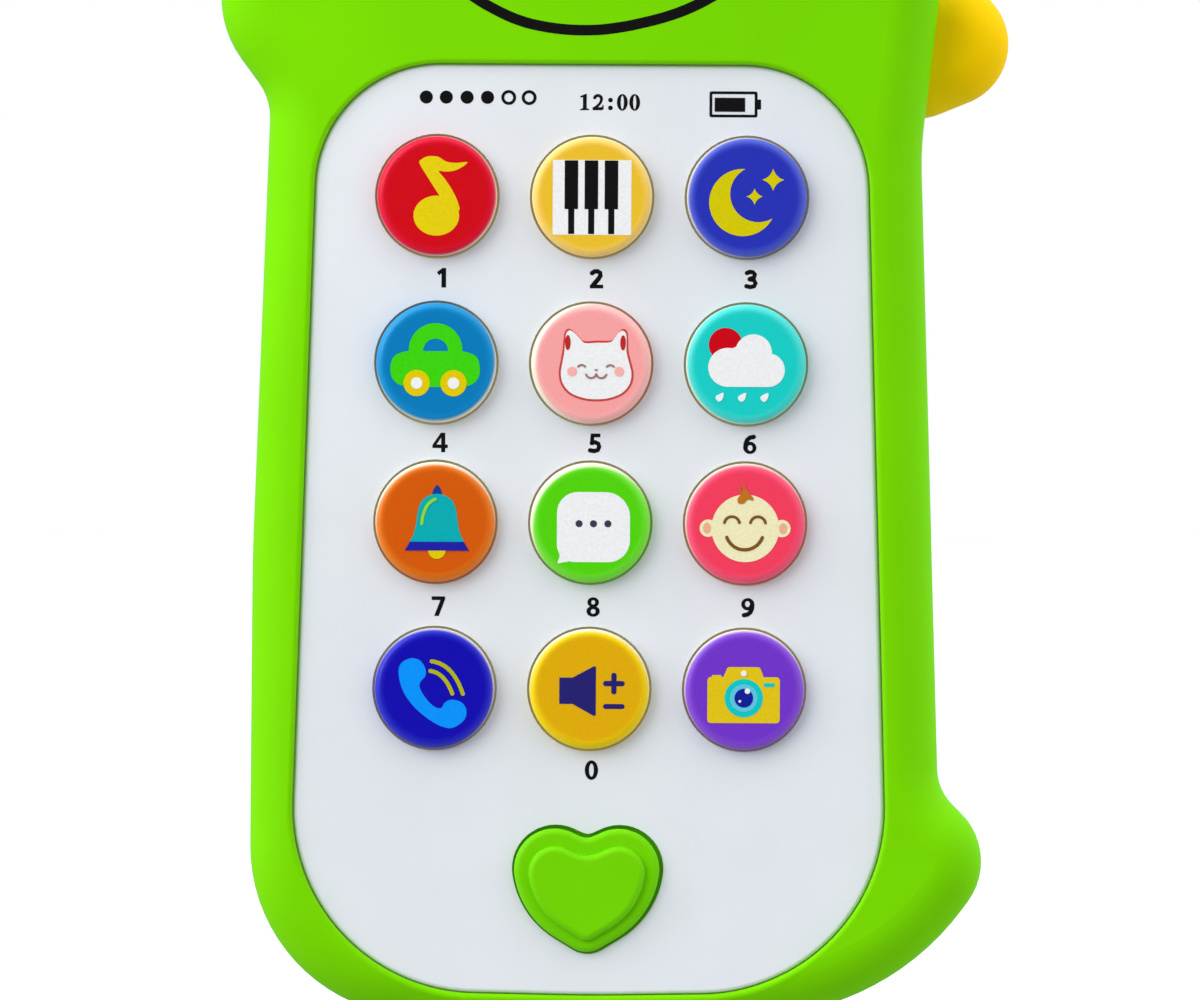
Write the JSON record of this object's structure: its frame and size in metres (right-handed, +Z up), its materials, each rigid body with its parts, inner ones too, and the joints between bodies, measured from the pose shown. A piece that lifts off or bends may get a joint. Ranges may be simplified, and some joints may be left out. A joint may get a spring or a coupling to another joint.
{
  "type": "toy cell phone",
  "caption": "Toy phone with round picture keys and a heart key on a pale panel, in a soft green dinosaur sleeve with a smile, yellow spikes and a tail.",
  "frame": {"origin": "centre of the sleeve's flat foot, on the phone's centre line", "axes": "+Z up the phone from the foot to the head, -Y the way the keys face, +X to the right of someone looking at the keys"},
  "size_m": [0.0988, 0.0264, 0.1689],
  "materials": {
    "green_rubber": "soft satin silicone",
    "yellow_rubber": "soft satin silicone",
    "white_eye": "gloss",
    "black_eye": "gloss",
    "white_panel": "fine satin",
    "white_shell": "fine spark texture",
    "key_music": "printed face on a cream cap",
    "key_piano": "printed face on a cream cap",
    "key_moon": "printed face on a cream cap",
    "key_car": "printed face on a cream cap",
    "key_cat": "printed face on a cream cap",
    "key_weather": "printed face on a cream cap",
    "key_bell": "printed face on a cream cap",
    "key_chat": "printed face on a cream cap",
    "key_baby": "printed face on a cream cap",
    "key_call": "printed face on a cream cap",
    "key_volume": "printed face on a cream cap",
    "key_camera": "printed face on a cream cap",
    "green_key": "satin",
    "screw_steel": "plated",
    "grey_rubber": "matte silicone",
    "carbon": "matte",
    "board_green": "solder mask",
    "epoxy_black": "gloss blob",
    "can_aluminium": "satin",
    "cell_wrap": "printed sleeve",
    "spring_steel": "nickel plated",
    "basket_steel": "pressed",
    "cone_paper": "treated paper",
    "magnet_ferrite": "ferrite",
    "black_gasket": "foam",
    "black_plastic": "satin",
    "red_lead": "insulated wire",
    "black_lead": "insulated wire",
    "white_lead": "insulated wire"
  },
  "bodies": {
    "phone": {"sleeve": "green_rubber", "spike_side": "yellow_rubber", "spike_shoulder": "yellow_rubber", "spike_top": "yellow_rubber", "eye_whites": "white_eye", "eye_pupils": "black_eye", "front_shell": "white_panel", "rear_shell": "white_shell", "case_screws": "screw_steel", "keypad_mat": "grey_rubber", "carbon_pills": "carbon", "circuit_board": "board_green", "board_screws": "screw_steel", "sound_chip": "epoxy_black", "capacitor": "can_aluminium", "battery_cell_1": "cell_wrap", "battery_cell_2": "cell_wrap", "battery_cell_3": "cell_wrap", "battery_springs": "spring_steel", "battery_contact_plates": "spring_steel", "speaker_gasket": "black_gasket", "speaker_frame": "basket_steel", "speaker_cone": "cone_paper", "speaker_magnet": "magnet_ferrite", "speaker_screws": "screw_steel", "switch_body": "basket_steel", "switch_screws": "screw_steel", "battery_lead_red": "red_lead", "battery_lead_black": "black_lead", "speaker_lead_red": "red_lead", "speaker_lead_black": "black_lead", "switch_leads": "white_lead"},
    "music_key": {"button_music": "key_music"},
    "piano_key": {"button_piano": "key_piano"},
    "moon_key": {"button_moon": "key_moon"},
    "car_key": {"button_car": "key_car"},
    "cat_key": {"button_cat": "key_cat"},
    "weather_key": {"button_weather": "key_weather"},
    "bell_key": {"button_bell": "key_bell"},
    "chat_key": {"button_chat": "key_chat"},
    "baby_key": {"button_baby": "key_baby"},
    "call_key": {"button_call": "key_call"},
    "volume_key": {"button_volume": "key_volume"},
    "camera_key": {"button_camera": "key_camera"},
    "heart_key": {"button_heart": "green_key"},
    "switch_knob": {"switch_knob": "black_plastic"},
    "battery_door": {"battery_door": "white_shell", "battery_door_screws": "screw_steel"}
  },
  "joints": [
    {"name": "music_press", "type": "slide", "parent": "phone", "child": "music_key", "axis": [0, 1, 0], "range_m": [0, 0.0012], "stiffness_N_per_m": 300, "springref_m": -0.0005, "deforming": ["keypad_mat"]},
    {"name": "piano_press", "type": "slide", "parent": "phone", "child": "piano_key", "axis": [0, 1, 0], "range_m": [0, 0.0012], "stiffness_N_per_m": 300, "springref_m": -0.0005, "deforming": ["keypad_mat"]},
    {"name": "moon_press", "type": "slide", "parent": "phone", "child": "moon_key", "axis": [0, 1, 0], "range_m": [0, 0.0012], "stiffness_N_per_m": 300, "springref_m": -0.0005, "deforming": ["keypad_mat"]},
    {"name": "car_press", "type": "slide", "parent": "phone", "child": "car_key", "axis": [0, 1, 0], "range_m": [0, 0.0012], "stiffness_N_per_m": 300, "springref_m": -0.0005, "deforming": ["keypad_mat"]},
    {"name": "cat_press", "type": "slide", "parent": "phone", "child": "cat_key", "axis": [0, 1, 0], "range_m": [0, 0.0012], "stiffness_N_per_m": 300, "springref_m": -0.0005, "deforming": ["keypad_mat"]},
    {"name": "weather_press", "type": "slide", "parent": "phone", "child": "weather_key", "axis": [0, 1, 0], "range_m": [0, 0.0012], "stiffness_N_per_m": 300, "springref_m": -0.0005, "deforming": ["keypad_mat"]},
    {"name": "bell_press", "type": "slide", "parent": "phone", "child": "bell_key", "axis": [0, 1, 0], "range_m": [0, 0.0012], "stiffness_N_per_m": 300, "springref_m": -0.0005, "deforming": ["keypad_mat"]},
    {"name": "chat_press", "type": "slide", "parent": "phone", "child": "chat_key", "axis": [0, 1, 0], "range_m": [0, 0.0012], "stiffness_N_per_m": 300, "springref_m": -0.0005, "deforming": ["keypad_mat"]},
    {"name": "baby_press", "type": "slide", "parent": "phone", "child": "baby_key", "axis": [0, 1, 0], "range_m": [0, 0.0012], "stiffness_N_per_m": 300, "springref_m": -0.0005, "deforming": ["keypad_mat"]},
    {"name": "call_press", "type": "slide", "parent": "phone", "child": "call_key", "axis": [0, 1, 0], "range_m": [0, 0.0012], "stiffness_N_per_m": 300, "springref_m": -0.0005, "deforming": ["keypad_mat"]},
    {"name": "volume_press", "type": "slide", "parent": "phone", "child": "volume_key", "axis": [0, 1, 0], "range_m": [0, 0.0012], "stiffness_N_per_m": 300, "springref_m": -0.0005, "deforming": ["keypad_mat"]},
    {"name": "camera_press", "type": "slide", "parent": "phone", "child": "camera_key", "axis": [0, 1, 0], "range_m": [0, 0.0012], "stiffness_N_per_m": 300, "springref_m": -0.0005, "deforming": ["keypad_mat"]},
    {"name": "heart_press", "type": "slide", "parent": "phone", "child": "heart_key", "axis": [0, 1, 0], "range_m": [0, 0.0012], "stiffness_N_per_m": 300, "springref_m": -0.0005, "deforming": ["keypad_mat"]},
    {"name": "switch_slide", "type": "slide", "parent": "phone", "child": "switch_knob", "axis": [1, 0, 0], "range_m": [-0.002, 0.002]},
    {"name": "battery_door_lift", "type": "slide", "parent": "phone", "child": "battery_door", "axis": [0, 1, 0], "range_m": [0, 0.015]}
  ]
}
